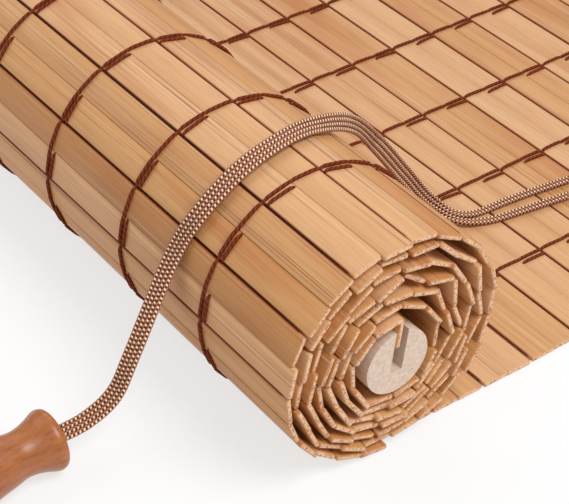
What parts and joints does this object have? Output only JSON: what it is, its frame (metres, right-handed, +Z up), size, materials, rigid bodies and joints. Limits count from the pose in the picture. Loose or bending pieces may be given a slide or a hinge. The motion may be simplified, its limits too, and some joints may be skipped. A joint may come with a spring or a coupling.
{
  "type": "bamboo roll up blind",
  "caption": "Bamboo slat blind, stitched with dark thread and partly rolled around its bottom rod, with a head rail and a braided pull cord",
  "frame": {"origin": "middle of the underside of the head rail, on the table plane", "axes": "+X along the slats toward the cord side, +Y across the mat from the roll to the head rail, +Z up from the table"},
  "size_m": [0.4526, 0.4212, 0.0706],
  "materials": {
    "bamboo": "satin",
    "thread": "matte",
    "pale_wood": "matte",
    "rail_wood": "satin",
    "brass": "satin",
    "steel": "satin",
    "white_plastic": "satin",
    "pull_wood": "gloss",
    "cord": "matte"
  },
  "bodies": {
    "blind": {"flat_slats": "bamboo", "rolled_slats": "bamboo", "flat_stitches": "thread", "flat_double_stitches": "thread", "roll_stitches": "thread", "roll_double_stitches": "thread", "bottom_rod": "pale_wood", "rail_strip": "rail_wood", "rail_batten": "rail_wood", "batten_screws": "brass", "left_hanger": "steel", "right_hanger": "steel", "hanger_screws": "steel", "guide_bracket": "steel", "guide_pin": "steel", "guide_screws": "steel", "pull": "pull_wood", "strand_1": "cord", "strand_2": "cord", "strand_3": "cord", "strand_4": "cord"},
    "roller": {"guide_roller": "white_plastic"}
  },
  "joints": [
    {"name": "guide_roller_spin", "type": "hinge", "parent": "blind", "child": "roller", "pos_m": [0.18, 0, 0.02228], "axis": [1, 0, 0], "continuous": true}
  ]
}
